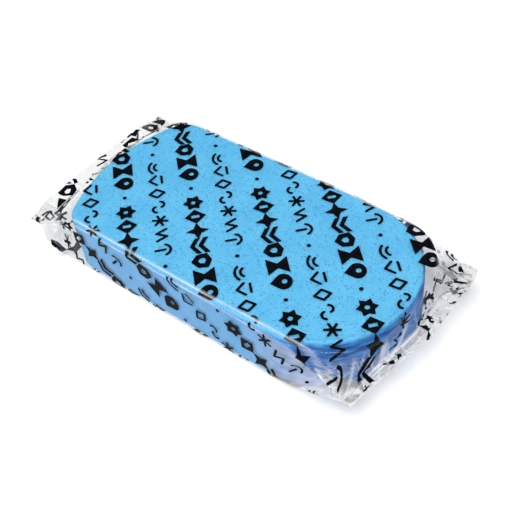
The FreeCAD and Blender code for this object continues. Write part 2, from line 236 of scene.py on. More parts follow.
def sleeve_point(x, web):
    """Place of the web round the sleeve. web is the distance round from the top's middle."""
    hand = np.sign(web)
    far = np.abs(web)
    y = np.where(far <= HALF_WIDTH, far, HALF_WIDTH)
    y = np.where(far > SIDE_FOOT, HALF_WIDTH - (far - SIDE_FOOT), y)
    z = np.where(far <= HALF_WIDTH, TALL, TALL - (far - HALF_WIDTH))
    z = np.where(far > SIDE_FOOT, 0.0, z)
    cut = fold_cut(x)
    share, on_bevel = bevel_share(far, HALF_WIDTH, cut)
    y = np.where(on_bevel, HALF_WIDTH - cut * (1 - share), y)
    z = np.where(on_bevel, TALL - cut * share, z)
    share, on_bevel = bevel_share(far, SIDE_FOOT, LOW_BEVEL)
    y = np.where(on_bevel, HALF_WIDTH - LOW_BEVEL * share, y)
    z = np.where(on_bevel, LOW_BEVEL * (1 - share), z)
    return np.stack([x, hand * y, z], axis=-1)


def root_point(web, side):
    """Place of the web at the fold line of an end fin, with its sides tucked in."""
    hand = np.sign(web)
    far = np.abs(web)
    spread = FIN_HALF / HALF_WIDTH
    tucked = np.clip((far - HALF_WIDTH) / TALL, 0, 1)
    y = np.where(far <= HALF_WIDTH, far * spread, FIN_HALF)
    y = np.where(far > SIDE_FOOT, (GIRTH_HALF - far) * spread, y)
    valley = TUCK_DEPTH * (1 - np.abs(2 * tucked - 1))
    y = y - np.where((far > HALF_WIDTH) & (far < SIDE_FOOT), valley, 0)
    layer = np.where(far > SIDE_FOOT, -1, 1 - 2 * tucked)
    layer = np.where(far <= HALF_WIDTH, 1, layer)
    z = ROOT[side][2] + LAYER * layer
    if side > 0:
        y = np.where(hand > 0, y * FAR_NARROWING, y)
    x = ROOT[side][0] - side * ROOT_DRAW * pulled_in(hand * y, side)
    return np.stack([x, hand * y, z], axis=-1)


def half_web(web, side):
    """One half of the web, middle of the sleeve to cut edge, and how many rows are sleeve."""
    ends = reach(web, side)
    sleeve_rows = int(abs(SKIRT_END[side]) / SLEEVE_STEP)
    rows = [sleeve_point(ends * k / sleeve_rows, web) for k in range(sleeve_rows + 1)]
    mouth = rows[-1]
    root = root_point(web, side)
    foot = FOOT_BULGE[side] * bell(np.abs(web) - SIDE_FOOT, 6.0)
    bulge = np.outer(np.sign(web) * foot, (0, 1, 0))
    for k in range(1, END_ROWS + 1):
        share = k / END_ROWS
        rows.append(mouth + (root - mouth) * share + bulge * math.sin(math.pi * share))
    edge = root.copy()
    edge[:, 0] = FIN_EDGE[side] - side * pulled_in(root[:, 1], side)
    for k in range(1, FIN_ROWS + 1):
        share = k / FIN_ROWS
        rows.append(root + (edge - root) * share)
    return np.array(rows), sleeve_rows


def from_tip(x, y):
    """Direction and distance of points from the gathered corner."""
    dx, dy = x - NEAR_TIP[0], y - NEAR_TIP[1]
    return np.arctan2(dx, dy), np.hypot(dx, dy)


def fan_of_pleats(x, y):
    """Folds that fan out from the gathered corner: a value that changes sign along each fold."""
    angle, away = from_tip(x, y)
    return noise(angle / 0.075 + 20, away / 26, 81), away


def sleeve_waves(x, across):
    """Waves of the sleeve: faint ones on top and slack ones down the sides."""
    far = np.abs(across)
    on_side = smooth_step(far, HALF_WIDTH - 1, HALF_WIDTH + 2)
    on_side = on_side * (1 - smooth_step(far, SIDE_FOOT - 2, SIDE_FOOT))
    under = smooth_step(far, SIDE_FOOT - 1, SIDE_FOOT + 1)
    top = 0.05 * noise(x / 11, across / 7, 3) + 0.02 * noise(x / 3, across / 4, 4)
    side = 0.28 * noise(x / 9, across / 16, 5) + 0.10 * creases(x / 5, across / 9, 6)
    return top * (1 - on_side) * (1 - under) + side * on_side * 0.9


def end_creases(x, y, side):
    """Creases of an end: pleats along the fin, fans from its corners and random crumples."""
    travel = x * side
    pleat = 0.55 * creases(travel / 1.9, y / 17, 11) + 0.25 * creases(travel / 0.9, y / 9, 12)
    a, b = turned(travel, y, 38)
    fan = 0.8 * creases(a / 5.5, b / 11, 13)
    a, b = turned(travel, y, -47)
    fan += 0.5 * creases(a / 4.0, b / 8, 14)
    crumple = 0.45 * creases(travel / 3.4, y / 3.9, 15)
    crumple += 0.12 * creases(travel / 1.6, y / 1.9, 16)
    if side < 0:
        return 0.05 * pleat + 0.12 * fan + 0.12 * crumple
    folds, away = fan_of_pleats(x, y)
    gathered = smooth_step(away, 12, 20) * (1 - smooth_step(away, 24, 42))
    pleat = pleat * smooth_step(away, 20, 40) + 1.5 * np.abs(folds) * gathered
    return 0.40 * pleat + 0.25 * fan + 0.35 * crumple


def outward_normals(grid):
    """Normals of the film, turned away from the middle of the pack."""
    normal = grid_normals(grid)
    facing = np.sign(np.sum(normal * (grid - (0, 0, TALL / 2)), axis=2, keepdims=True))
    return normal * np.where(facing == 0, 1, facing)


def wrinkle(grid, web, side, sleeve_rows):
    """Displaces one half of the web into slack waves, crumples and pleats."""
    x, y = grid[..., 0], grid[..., 1]
    row = np.arange(len(grid))
    past_mouth = np.clip((row - sleeve_rows) / END_ROWS, 0, 1)[:, None]
    on_fin = np.clip((row - sleeve_rows - END_ROWS) / FIN_ROWS, 0, 1)[:, None]
    envelope = np.sin(np.minimum(past_mouth * 1.15, 1) * math.pi / 2) ** 1.2
    waves = sleeve_waves(x, np.broadcast_to(web, x.shape))
    push = waves * (1 - envelope) + end_creases(x, y, side) * envelope
    # Creases stand out from the sleeve, and turn upright towards the fin.
    upright = np.clip(past_mouth * 1.1, 0, 1)[..., None] ** 2
    direction = outward_normals(grid) * (1 - upright) + np.array([0.0, 0.0, 1.0]) * upright
    moved = grid + direction * push[..., None]
    # Cut edges wander a little.
    wander = 0.5 * noise(y / 9, np.full_like(y, 2.5 + side), 17) * on_fin
    moved[..., 0] -= side * np.abs(wander)
    moved[..., 2] += 0.9 * noise(y / 13, np.full_like(y, 7.5 * side), 18) * on_fin
    return moved


def build_web():
    """The web's columns, its rows from the left cut edge to the right one, and its zones."""
    columns = int(round(2 * GIRTH_HALF / COLUMN_STEP)) + 1
    web = np.linspace(-GIRTH_HALF, GIRTH_HALF, columns)
    halves = {}
    for side in (-1, 1):
        grid, sleeve_rows = half_web(web, side)
        smooth(grid, 1, axis=1)
        # Along the film, only the sleeve and the folds are smoothed: a fin's root stays sharp.
        smooth(grid[:-FIN_ROWS], 2, axis=0)
        halves[side] = (wrinkle(grid, web, side, sleeve_rows), sleeve_rows)
    left, _ = halves[-1]
    right, right_rows = halves[1]
    middle = 0.5 * (left[0] + right[0])
    grid = np.concatenate([left[:0:-1], middle[None], right[1:]])
    grid[..., 2] = np.maximum(grid[..., 2], LOWEST_FILM)
    zero = len(left) - 1
    rows = {
        "left_mouth": FIN_ROWS + END_ROWS,
        "middle": zero,
        "right_mouth": zero + right_rows,
    }
    return web, grid, rows


WEB, GRID, ROWS = build_web()
NORMALS = grid_normals(GRID)
if NORMALS[ROWS["middle"], len(WEB) // 2, 2] < 0:
    NORMALS = -NORMALS


def web_lengths():
    """Distance along each column from the middle of the sleeve, as printed on the flat web."""
    step = np.linalg.norm(np.diff(GRID, axis=0), axis=2)
    total = np.concatenate([np.zeros((1, len(WEB))), np.cumsum(step, axis=0)])
    return total - total[ROWS["middle"]]


LENGTHS = web_lengths()


def on_web(along, round_web, inside):
    """Points of the folded film for places on the flat web, and the grid row of each.

    inside is how far inside the film each point is set, or outside it where that is negative.
    """
    column = np.clip((round_web + GIRTH_HALF) / (WEB[1] - WEB[0]), 0, len(WEB) - 1.001)
    low = np.floor(column).astype(int)
    share = (column - low)[:, None]
    row_numbers = np.arange(len(GRID))
    out = np.zeros((len(along), 3))
    row_of = np.zeros(len(along))
    for offset, weight in ((0, 1 - share), (1, share)):
        which = low + offset
        pairs = zip(along, which)
        row = np.array([np.interp(a, LENGTHS[:, c], row_numbers) for a, c in pairs])
        base = np.clip(np.floor(row).astype(int), 0, len(GRID) - 2)
        part = (row - base)[:, None]
        place = GRID[base, which] * (1 - part) + GRID[base + 1, which] * part
        normal = NORMALS[base, which] * (1 - part) + NORMALS[base + 1, which] * part
        out += weight * (place - normal * inside)
        row_of += weight[:, 0] * row
    return out, row_of


def ridges(turn, low, high):
    """Even lines, one for each half turn: 1 on a line and 0 between them."""
    return smooth_step(np.abs(np.cos(turn)), low, high)


def painted_pleat_lines(x, y):
    """Painted highlight lines and painted dark lines, side by side, from the gathered corner along
    the fin's fold line.
    """
    angle, away = from_tip(x, y)
    waver = angle + 0.03 * noise(away / 7, angle * 3, 91)
    fine, bold = math.pi * waver / FINE_PLEAT, math.pi * waver / BOLD_PLEAT
    span = smooth_step(angle, -0.36, -0.28) * (1 - smooth_step(angle, 0.10, 0.18))
    further = span * smooth_step(away, 10, 16) * (1 - smooth_step(away, 28, 42))
    at_tip = smooth_step(away, 2, 5) * (1 - smooth_step(away, 12, 18))
    highlight_fine = further * ridges(fine, 0.72, 0.95)
    highlight_bold = 0.75 * at_tip * ridges(bold, 0.86, 0.98)
    dark_fine = further * ridges(fine + 1.1, 0.86, 0.98)
    dark_bold = 0.6 * at_tip * ridges(bold + 1.0, 0.90, 0.99)
    return np.maximum(highlight_fine, highlight_bold), np.maximum(dark_fine, dark_bold)


def thread(fold, half_width, edge):
    """A thin line where fold is zero: 1 within half_width of it and 0 past edge."""
    return 1 - smooth_step(np.abs(fold), half_width, edge)


def painted_crease_lines(x, y, side, upper):
    """Thin painted highlight lines (white) and painted dark lines where the film of an end is
    creased, each 0 to 1.

    upper is 1 on the film that faces up; the fan of pleats shows only there.
    """
    highlight_lines, dark = np.zeros_like(x), np.zeros_like(x)
    for degrees, pitch, run, seed in ((34, 2.6, 12, 82), (-41, 2.4, 11, 83), (80, 4.0, 9, 84)):
        a, b = turned(x * side, y, degrees)
        fold = noise(a / pitch, b / run, seed)
        some = 0.7 * smooth_step(noise(a / 7, b / 9, seed + 10), -0.15, 0.25)
        highlight_lines = np.maximum(highlight_lines, some * thread(fold, 0.02, 0.08))
        dark = np.maximum(dark, some * thread(fold - 0.12, 0.02, 0.07))
    if side > 0:
        fold, away = fan_of_pleats(x, y)
        some = upper * smooth_step(away, 16, 24) * (1 - smooth_step(away, 34, 56))
        thin = np.clip(20 / np.maximum(away, 1), 0.35, 1)
        highlight_lines = np.maximum(highlight_lines, some * thread(fold / thin, 0.02, 0.12))
        dark = np.maximum(dark, some * thread((fold - 0.17) / thin, 0.02, 0.10))
    return highlight_lines, dark * (1 - highlight_lines)


def right_haze(x, y, past, upper):
    """Extra haze of the right end: at its near corner, its foot, along the fold and on the fin."""
    corner = bell(np.hypot(x - HAZY_SPOT[0], y - HAZY_SPOT[1]), 6.5)
    foot = bell(WEB + SIDE_FOOT - 3, 8.0) * smooth_step(x, 30, 42)
    band = smooth_step(past, 0.40, 0.75) * (1 - smooth_step(y, -16, 4)) * upper
    _, away = from_tip(x, y)
    band = band * smooth_step(away, 10, 18)
    return 0.25 * corner + 0.30 * foot + 0.28 * band + 0.12 * smooth_step(past, 0.85, 1.05)


def end_haze_and_painted_lines(side):
    """Milky shares (haze with painted highlight lines) and dark shares (painted dark lines) of one
    end's film, over the whole grid.
    """
    x, y = GRID[..., 0], GRID[..., 1]
    mouth = ROWS["left_mouth"] if side < 0 else ROWS["right_mouth"]
    past = ((np.arange(len(GRID)) - mouth) * side / END_ROWS)[:, None]
    upper = 1 - smooth_step(np.abs(WEB), HALF_WIDTH, HALF_WIDTH + 2)
    highlight_lines, dark = painted_crease_lines(x, y, side, upper)
    if side < 0:
        end = smooth_step(past, 0.0, 0.35)
        return end * (0.02 + 0.28 * highlight_lines), end * 0.06 * dark
    end = smooth_step(past, 0.1, 0.55)
    # Haze, plus painted highlight lines that stand in for ridges catching the lamps.
    haze_and_highlight = 0.03 + 0.65 * highlight_lines + right_haze(x, y, past, upper)
    pleat_highlight, pleat_dark = painted_pleat_lines(x, y)
    haze_and_highlight = np.maximum(haze_and_highlight, 0.95 * upper * pleat_highlight)
    shade = np.maximum(0.14 * dark, 0.55 * upper * pleat_dark)
    return end * haze_and_highlight, end * shade


def long_fold_haze_and_highlight():
    """Milky film on the slack part of the sides, and white lines along the long folds that are
    partly stress-whitening and partly painted highlight.
    """
    x, far = GRID[..., 0], np.abs(WEB)
    slack = smooth_step(x, 20, 44) * smooth_step(far, HALF_WIDTH, HALF_WIDTH + 3)
    slack = slack * (1 - smooth_step(far, SIDE_FOOT - 1, SIDE_FOOT + 4))
    haze = 0.75 * slack * (0.8 + 0.5 * noise(x / 5, far / 3, 92))
    fade = 0.8 + 0.6 * noise(x / 8, np.full_like(x, 3.3), 72)
    fade = fade * (1 - 0.6 * smooth_step(x, MOUTH[1] - 2, MOUTH[1] + 8))
    cut = fold_cut(x)
    # Lines along the long folds: stress-whitened film with a painted highlight on it.
    for line, width, strength in (
        (HALF_WIDTH - cut, 0.36, 1.10),
        (HALF_WIDTH + cut, 0.30, 0.90),
        (SIDE_FOOT - LOW_BEVEL, 0.4, 0.3),
    ):
        haze = np.maximum(haze, strength * fade * bell(far - line, width))
    return haze


def haze_and_painted_lines():
    """How milky (haze and painted highlight lines) and how dark (painted dark lines) the creased
    film looks at each point of the grid, 0 to 1.
    """
    left_haze_and_highlight, left_shade = end_haze_and_painted_lines(-1)
    right_haze_and_highlight, right_shade = end_haze_and_painted_lines(1)
    haze_and_highlight = np.maximum(np.maximum(left_haze_and_highlight, right_haze_and_highlight), long_fold_haze_and_highlight())
    return np.clip(haze_and_highlight, 0, 1), np.clip(np.maximum(left_shade, right_shade), 0, 1)


HAZE_AND_HIGHLIGHT, SHADE = haze_and_painted_lines()


def quads(rows, columns):
    """Faces of a grid of points that is given row by row."""
    return [
        (a, a + columns, a + columns + 1, a + 1)
        for i in range(rows - 1)
        for a in range(i * columns, (i + 1) * columns - 1)
    ]


def film_piece(name, row_span, column_span):
    """A panel of the web between two rows and two columns, both ends included."""
    panel = (slice(row_span[0], row_span[1] + 1), slice(column_span[0], column_span[1] + 1))
    points, normals = GRID[panel], NORMALS[panel]
    faces = quads(*points.shape[:2])
    piece = new_mesh(name, points.reshape(-1, 3), faces, FILM, normals.reshape(-1, 3))
    # The haze with its painted highlight lines, and the painted dark lines, go to the film as
    # attributes.
    for word, values in (("haze_and_highlight", HAZE_AND_HIGHLIGHT), ("shade", SHADE)):
        layer = piece.data.attributes.new(word, "FLOAT", "POINT")
        layer.data.foreach_set("value", values[panel].ravel())
    return piece


# ------------ materials

WHITE = (1, 1, 1)
CLAY_PALE, CLAY_DEEP = (0.165, 0.60, 0.92), (0.12, 0.515, 0.86)
CLAY_SPECK, CLAY_GRAIN = (0.02, 0.20, 0.50), (0.045, 0.35, 0.68)
# The next colour is painted shade: the darker blue given to the clay's upright sides.
CLAY_SIDE_SHADE = (0.10, 0.335, 0.68)
# The next two colours are painted shade for the torn right end wall, dark and lighter streaks; the
# span after them is where that painted shade fades in along X.
CUT_WALL_SHADE_DARK, CUT_WALL_SHADE_LIGHT = (0.007, 0.075, 0.34), (0.055, 0.32, 0.80)
SHADED_WALL_X = (26 * MM, 40 * MM)  # along X, where the cut wall begins and is fully cut
# The second film colour is painted dark: the tint of the painted dark lines in the creased film,
# standing in for dark surroundings seen in its creases.
FILM_TINT, FILM_PAINTED_DARK = (0.935, 0.937, 0.932), (0.22, 0.22, 0.21)
# The milky colour is the film's haze, and also paints the white highlight lines along its folds.
FILM_MILK_AND_HIGHLIGHT = (0.96, 0.96, 0.965)
INK_DARK, INK_LIGHT = (0.001, 0.0015, 0.003), (0.005, 0.006, 0.01)
FLOOR_DARK, FLOOR_LIGHT = (0.78, 0.78, 0.78), (0.80, 0.80, 0.80)


def node_material(name):
    material = bpy.data.materials.new(name)
    material.use_nodes = True
    tree = material.node_tree
    return material, tree, tree.nodes["Principled BSDF"], tree.nodes["Material Output"]


def add(tree, kind):
    return tree.nodes.new("ShaderNode" + kind)


def settings(node, values):
    for name, value in values.items():
        node.inputs[name].default_value = value


def feed(tree, socket, value):
    """Sets a socket to a value, or links it to what another node gives."""
    if isinstance(value, bpy.types.NodeSocket):
        tree.links.new(value, socket)
    elif isinstance(value, tuple):
        socket.default_value = (*value, 1)
    else:
        socket.default_value = value


def ramp(tree, source, low, high, dark=0.0, light=1.0):
    """Maps a value from low..high to dark..light."""
    node = add(tree, "MapRange")
    settings(node, {"From Min": low, "From Max": high, "To Min": dark, "To Max": light})
    tree.links.new(source, node.inputs["Value"])
    return node.outputs["Result"]


def mix_colour(tree, share, first, second):
    node = add(tree, "Mix")
    node.data_type = "RGBA"
    tree.links.new(share, node.inputs["Factor"])
    for key, colour in (("A", first), ("B", second)):
        feed(tree, next(s for s in node.inputs if s.name == key and s.type == "RGBA"), colour)
    return next(s for s in node.outputs if s.type == "RGBA")


def arithmetic(tree, operation, first, second):
    node = add(tree, "Math")
    node.operation = operation
    feed(tree, node.inputs[0], first)
    feed(tree, node.inputs[1], second)
    return node.outputs[0]


def place_in(tree):
    return add(tree, "TexCoord").outputs["Object"]


def texture(tree, where, kind, scale):
    node = add(tree, kind)
    tree.links.new(where, node.inputs["Vector"])
    settings(node, {"Scale": scale})
    return node


def soft_noise(tree, where, scale, detail):
    node = texture(tree, where, "TexNoise", scale)
    settings(node, {"Detail": detail})
    return node.outputs["Fac"]


def parts_of(tree, vector):
    """The X, Y and Z of a vector."""
    node = add(tree, "SeparateXYZ")
    tree.links.new(vector, node.inputs[0])
    return node.outputs


def bump(tree, shader, height, strength, distance):
    node = add(tree, "Bump")
    settings(node, {"Strength": strength, "Distance": distance})
    tree.links.new(height, node.inputs["Height"])
    tree.links.new(node.outputs["Normal"], shader.inputs["Normal"])


def clay_colour(tree, where, grain):
    """Light blue, in soft clouds of two tones, with dark specks and darker grain."""
    cloud = soft_noise(tree, where, 90, 3.0)
    body = mix_colour(tree, ramp(tree, cloud, 0.3, 0.7), CLAY_DEEP, CLAY_PALE)
    cells = texture(tree, where, "TexVoronoi", 1500)
    dark = ramp(tree, cells.outputs["Distance"], 0.22, 0.42, 1.0, 0.0)
    keep = ramp(tree, soft_noise(tree, where, 700, 0.0), 0.44, 0.60, 0.0, 0.75)
    speckled = mix_colour(tree, arithmetic(tree, "MULTIPLY", dark, keep), body, CLAY_SPECK)
    return mix_colour(tree, ramp(tree, grain, 0.3, 0.6, 0.5, 0.0), speckled, CLAY_GRAIN)


def cut_wall_painted_shade(tree, where):
    """Painted shade for the cut wall: layers of dark and light blue that run round it, standing in
    for the light it misses and the shadows of its torn roughness.
    """
    stretch = add(tree, "Mapping")
    stretch.inputs["Scale"].default_value = (1.0, 1.0, 7.0)
    tree.links.new(where, stretch.inputs["Vector"])
    layers = soft_noise(tree, stretch.outputs["Vector"], 170, 3.0)
    return mix_colour(tree, ramp(tree, layers, 0.35, 0.65), CUT_WALL_SHADE_DARK, CUT_WALL_SHADE_LIGHT)


def clay_material():
    """Light blue clay, with painted shade: a darker blue on its upright sides, and dark streaky
    layers round the wall of the cut right end.
    """
    material, tree, shader, _ = node_material("clay_blue")
    where = place_in(tree)
    grain = soft_noise(tree, where, 2600, 2.0)
    normal = add(tree, "NewGeometry").outputs["Normal"]
    up = parts_of(tree, normal)["Z"]
    at_right_end = ramp(tree, parts_of(tree, where)["X"], *SHADED_WALL_X)
    # Painted shade on the torn right end: upright faces towards the right end take the dark
    # streaked colour.
    wall = arithmetic(tree, "MULTIPLY", ramp(tree, up, 0.25, 0.8, 1.0, 0.0), at_right_end)
    # Painted shade on the sides: the more upright a face, the more it takes the darker side colour.
    upright = ramp(tree, up, 0.25, 0.8, 0.75, 0.0)
    side_shaded = mix_colour(tree, upright, clay_colour(tree, where, grain), CLAY_SIDE_SHADE)
    wall_shaded = mix_colour(tree, wall, side_shaded, cut_wall_painted_shade(tree, where))
    feed(tree, shader.inputs["Base Color"], wall_shaded)
    settings(shader, {"Subsurface Weight": 0.08, "Subsurface Scale": 1.5 * MM})
    settings(shader, {"Subsurface Radius": (0.4, 0.8, 1.0), "Specular IOR Level": 0.3})
    feed(tree, shader.inputs["Roughness"], ramp(tree, grain, 0.3, 0.7, 0.55, 0.78))
    bump(tree, shader, grain, 0.25, 0.2 * MM)
    return material


def attribute(tree, name):
    node = add(tree, "Attribute")
    node.attribute_name = name
    return node.outputs["Fac"]


def mix_shader(tree, share, first, second):
    node = add(tree, "MixShader")
    feed(tree, node.inputs["Fac"], share)
    tree.links.new(first, node.inputs[1])
    tree.links.new(second, node.inputs[2])
    return node.outputs[0]


def film_material():
    """Clear glossy film: see-through, with sharp reflections; milky along its creases, with white
    painted highlight lines, and painted dark lines that stand in for dark surroundings seen in the
    creases.
    """
    material, tree, shader, output = node_material("film_clear")
    tree.nodes.remove(shader)
    scuffs = soft_noise(tree, place_in(tree), 260, 4.0)
    clear = add(tree, "BsdfTransparent")
    # Painted dark lines: the see-through colour darkens where the shade attribute is high.
    tint_and_painted_dark = mix_colour(tree, attribute(tree, "shade"), FILM_TINT, FILM_PAINTED_DARK)
    feed(tree, clear.inputs["Color"], tint_and_painted_dark)
    gloss = add(tree, "BsdfGlossy")
    feed(tree, gloss.inputs["Color"], WHITE)
    feed(tree, gloss.inputs["Roughness"], ramp(tree, scuffs, 0.3, 0.75, 0.05, 0.16))
    front = add(tree, "BsdfDiffuse")
    behind = add(tree, "BsdfTranslucent")
    for scatter in (front, behind):
        feed(tree, scatter.inputs["Color"], FILM_MILK_AND_HIGHLIGHT)
    scattered = mix_shader(tree, 0.4, front.outputs[0], behind.outputs[0])
    # Haze of the creased film together with painted highlight lines, both drawn as white scattering
    # film.
    haze_and_highlight = ramp(tree, attribute(tree, "haze_and_highlight"), 0.0, 1.0, 0.001, 0.8)
    hazed_and_highlit = mix_shader(tree, haze_and_highlight, clear.outputs[0], scattered)
    facing = add(tree, "LayerWeight")
    settings(facing, {"Blend": 0.5})
    grazing = arithmetic(tree, "POWER", facing.outputs["Facing"], 6.0)
    shine = ramp(tree, grazing, 0.0, 1.0, 0.022, 0.9)
    shiny = mix_shader(tree, shine, hazed_and_highlit, gloss.outputs[0])
    tree.links.new(shiny, output.inputs["Surface"])
    return material


def ink_material():
    """Black print with a faint unevenness, as ink on film has."""
    material, tree, shader, _ = node_material("ink_black")
    cloud = soft_noise(tree, place_in(tree), 900, 2.0)
    tone = mix_colour(tree, ramp(tree, cloud, 0.35, 0.75), INK_DARK, INK_LIGHT)
    feed(tree, shader.inputs["Base Color"], tone)
    feed(tree, shader.inputs["Roughness"], ramp(tree, cloud, 0.3, 0.7, 0.4, 0.6))
    settings(shader, {"Specular IOR Level": 0.03})
    return material


def floor_material():
    """A matt floor that glows a little, like a lit studio sweep."""
    material, tree, shader, _ = node_material("floor_pale")
    cloud = soft_noise(tree, place_in(tree), 6, 2.0)
    tone = mix_colour(tree, ramp(tree, cloud, 0.3, 0.7), FLOOR_DARK, FLOOR_LIGHT)
    feed(tree, shader.inputs["Base Color"], tone)
    feed(tree, shader.inputs["Emission Color"], WHITE)
    settings(shader, {"Roughness": 0.9, "Specular IOR Level": 0.1, "Emission Strength": 0.22})
    return material


FILM = film_material()
CLAY = clay_material()
INK = ink_material()


# ------------ the clay

ROUND_END, SQUARE_END = 26.5, 8.0  # corner radii of the slab's right and left end
RIM = 1.6  # radius of the slab's upper and lower rim
LOOP_POINTS = 420  # points round the slab
FACE_RINGS = 34  # rings from the middle of the top or the bottom to its rim
SPINE = (CLAY_LOW[0] + 26, CLAY_HIGH[0] - 27)  # the line that those rings close up on


def clay_outline(count):
    """Points round the slab at even distances, starting at the middle of the round end."""
    half = CLAY_HIGH[1]
    left, right = CLAY_LOW[0], CLAY_HIGH[0]
    bow_x = left + BOW_RADIUS
    run = math.sqrt((BOW_RADIUS - SQUARE_END) ** 2 - (half - SQUARE_END) ** 2)
    knee = np.array([bow_x - run, half - SQUARE_END])
    meet = math.atan2(knee[1], bow_x - knee[0])
    points = [(right, 0.0)]
    for centre, radius, first, last, steps in (
        ((right - ROUND_END, half - ROUND_END), ROUND_END, 0, math.pi / 2, 40),
        (knee, SQUARE_END, math.pi / 2, math.pi - meet, 24),
        ((bow_x, 0.0), BOW_RADIUS, math.pi - meet, math.pi, 30),
    ):
        for a in np.linspace(first, last, steps):
            points.append((centre[0] + radius * math.cos(a), centre[1] + radius * math.sin(a)))
    upper = np.array(points)
    lower = upper[-2:0:-1] * (1, -1)
    loop = np.concatenate([upper, lower])
    closed = np.concatenate([loop, loop[:1]])
    way = np.concatenate([[0], np.cumsum(np.linalg.norm(np.diff(closed, axis=0), axis=1))])
    at = np.linspace(0, way[-1], count, endpoint=False)
    return np.stack([np.interp(at, way, closed[:, k]) for k in (0, 1)], axis=1), way[-1]


def slab_rings(loop, out):
    """Rings of the plain slab, from the middle of its bottom to the middle of its top."""
    low, high = CLAY_LOW[2], CLAY_HIGH[2]
    centre = np.stack([np.clip(loop[:, 0], *SPINE), np.zeros(len(loop))], axis=1)
    rings = []

    def ring(inset, z, share=1.0):
        """A ring inset from the outline, or shrunk towards the slab's spine by share."""
        flat = centre + (loop - out * inset - centre) * share
        rings.append(np.concatenate([flat, np.full((len(loop), 1), z)], axis=1))

    shares = np.linspace(0.0, 1.0, FACE_RINGS)
    bends = np.linspace(0, math.pi / 2, 7)[1:]
    for share in shares:
        ring(RIM, low, share)
    for a in bends:
        ring(RIM * (1 - math.sin(a)), low + RIM * (1 - math.cos(a)))
    for z in np.linspace(low + RIM, high - RIM, 30)[1:]:
        ring(0, z)
    for a in bends:
        ring(RIM * (1 - math.cos(a)), high - RIM * (1 - math.sin(a)))
    for share in shares[-2::-1]:
        ring(RIM, high, share)
    return np.array(rings)


def roughen_slab(grid, out, length):
    """Tears the wall at the round end, makes its upper rim ragged and dents the top."""
    x, y, z = grid[..., 0], grid[..., 1], grid[..., 2]
    way = np.broadcast_to(np.arange(grid.shape[1]) * length / grid.shape[1], x.shape)
    index = np.arange(len(grid))
    first_top = len(grid) - FACE_RINGS
    wall = ((index >= FACE_RINGS) & (index < first_top))[:, None]
    tear = 0.35 * creases(way / 7, z / 1.3, 31) + 0.25 * noise(way / 2.4, z / 1.0, 32)
    tear += 0.08 * noise(way / 0.9, z / 0.6, 33)
    push = -np.abs(tear) * wall * np.clip((x - 25) / 10, 0.12, 1)
    grid[..., :2] += out * push[..., None]
    near_rim = bell(index - (first_top - 2), 4.0)[:, None]
    ragged = 0.35 * creases(way / 2.6, np.full_like(way, 5.5), 36)
    ragged += 0.2 * noise(way / 1.1, z / 2, 37)
    push = -np.abs(ragged) * near_rim * smooth_step(x, 28, 40)
    grid[..., :2] += out * push[..., None]
    away = np.hypot(x - np.clip(x, -20, 28), y) - 18
    sink = 0.25 * smooth_step(away, 2, 10) ** 2 * smooth_step(x, 20, 45)
    dent = 0.05 * noise(x / 9, y / 8, 34) + 0.02 * noise(x / 2.5, y / 2.5, 35)
    top = (index >= first_top)[:, None]
    grid[..., 2] += top * (np.minimum(dent - 0.05, 0) - sink)


def clay_slab():
    """The slab: a slightly dented top, rounded rims and a wall torn round the right end."""
    loop, length = clay_outline(LOOP_POINTS)
    ahead = np.roll(loop, -1, axis=0) - np.roll(loop, 1, axis=0)
    ahead /= np.linalg.norm(ahead, axis=1, keepdims=True)
    out = np.stack([ahead[:, 1], -ahead[:, 0]], axis=1)
    grid = slab_rings(loop, out)
    roughen_slab(grid, out, length)
    faces = []
    for start in range(0, (len(grid) - 1) * LOOP_POINTS, LOOP_POINTS):
        for j in range(LOOP_POINTS):
            a, b = start + j, start + (j + 1) % LOOP_POINTS
            faces.append((a, b, b + LOOP_POINTS, a + LOOP_POINTS))
    piece = new_mesh("clay_slab", grid.reshape(-1, 3), faces, CLAY)
    weld = piece.modifiers.new("weld", "WELD")
    weld.merge_threshold = 0.02 * MM
    return piece


# ------------ the print
# Two kinds of column alternate: heavy marks and fine line marks, seven marks then a dot.
# The marks are plain geometric shapes.

PRINT_ORIGIN = np.array([-35.6, -11.6])  # one of the dots, on the flat web
COLUMN_TO_COLUMN = np.array([14.34, 14.28])
ALONG_COLUMN = np.array([35.9, -33.3])  # from one dot to the next
FINE_OFFSET = np.array([-6.5, 19.46])  # from a heavy column's dot to a fine column's
MARK_PITCH = 6.0
HEAVY_SIZE = 6.1
FINE_SIZE = 5.0
FINE_STROKE = 0.78
DOT_RADIUS = 0.62
INK_GAP = 0.06  # from the film to the ink
MARK_TICK = 0.42  # fineness of a mark's triangles
PRINT_END, PRINT_EDGE = 78, GIRTH_HALF - 3  # half the print's length and width
SHAKEN_PAST = 55  # the film is crumpled past this, and draws the print out of line
BROKEN_PAST = 61.5  # the print of the right fin is broken up past this
CUT_MARGIN = 0.2  # what stays bare beside a cut edge
SEAM_MARGIN = {"heavy": 2.0, "fine": 1.6}  # what stays bare beside the back seam
BARE_BEYOND = -56  # heavy marks end here on the near side, at the left


def arc_line(cx, cy, radius, first, last, steps=9):
    """Points along an arc, from one angle in degrees to another."""
    return [
        (cx + radius * math.cos(math.radians(a)), cy + radius * math.sin(math.radians(a)))
        for a in np.linspace(first, last, steps)
    ]


def circle(cx, cy, radius, steps=18):
    return arc_line(cx, cy, radius, 0, 360, steps + 1)[:-1]


def star(points, outer, inner):
    out = []
    for k in range(2 * points):
        radius = inner if k % 2 else outer
        a = math.pi / 2 + math.pi * k / points
        out.append((radius * math.cos(a), radius * math.sin(a)))
    return out


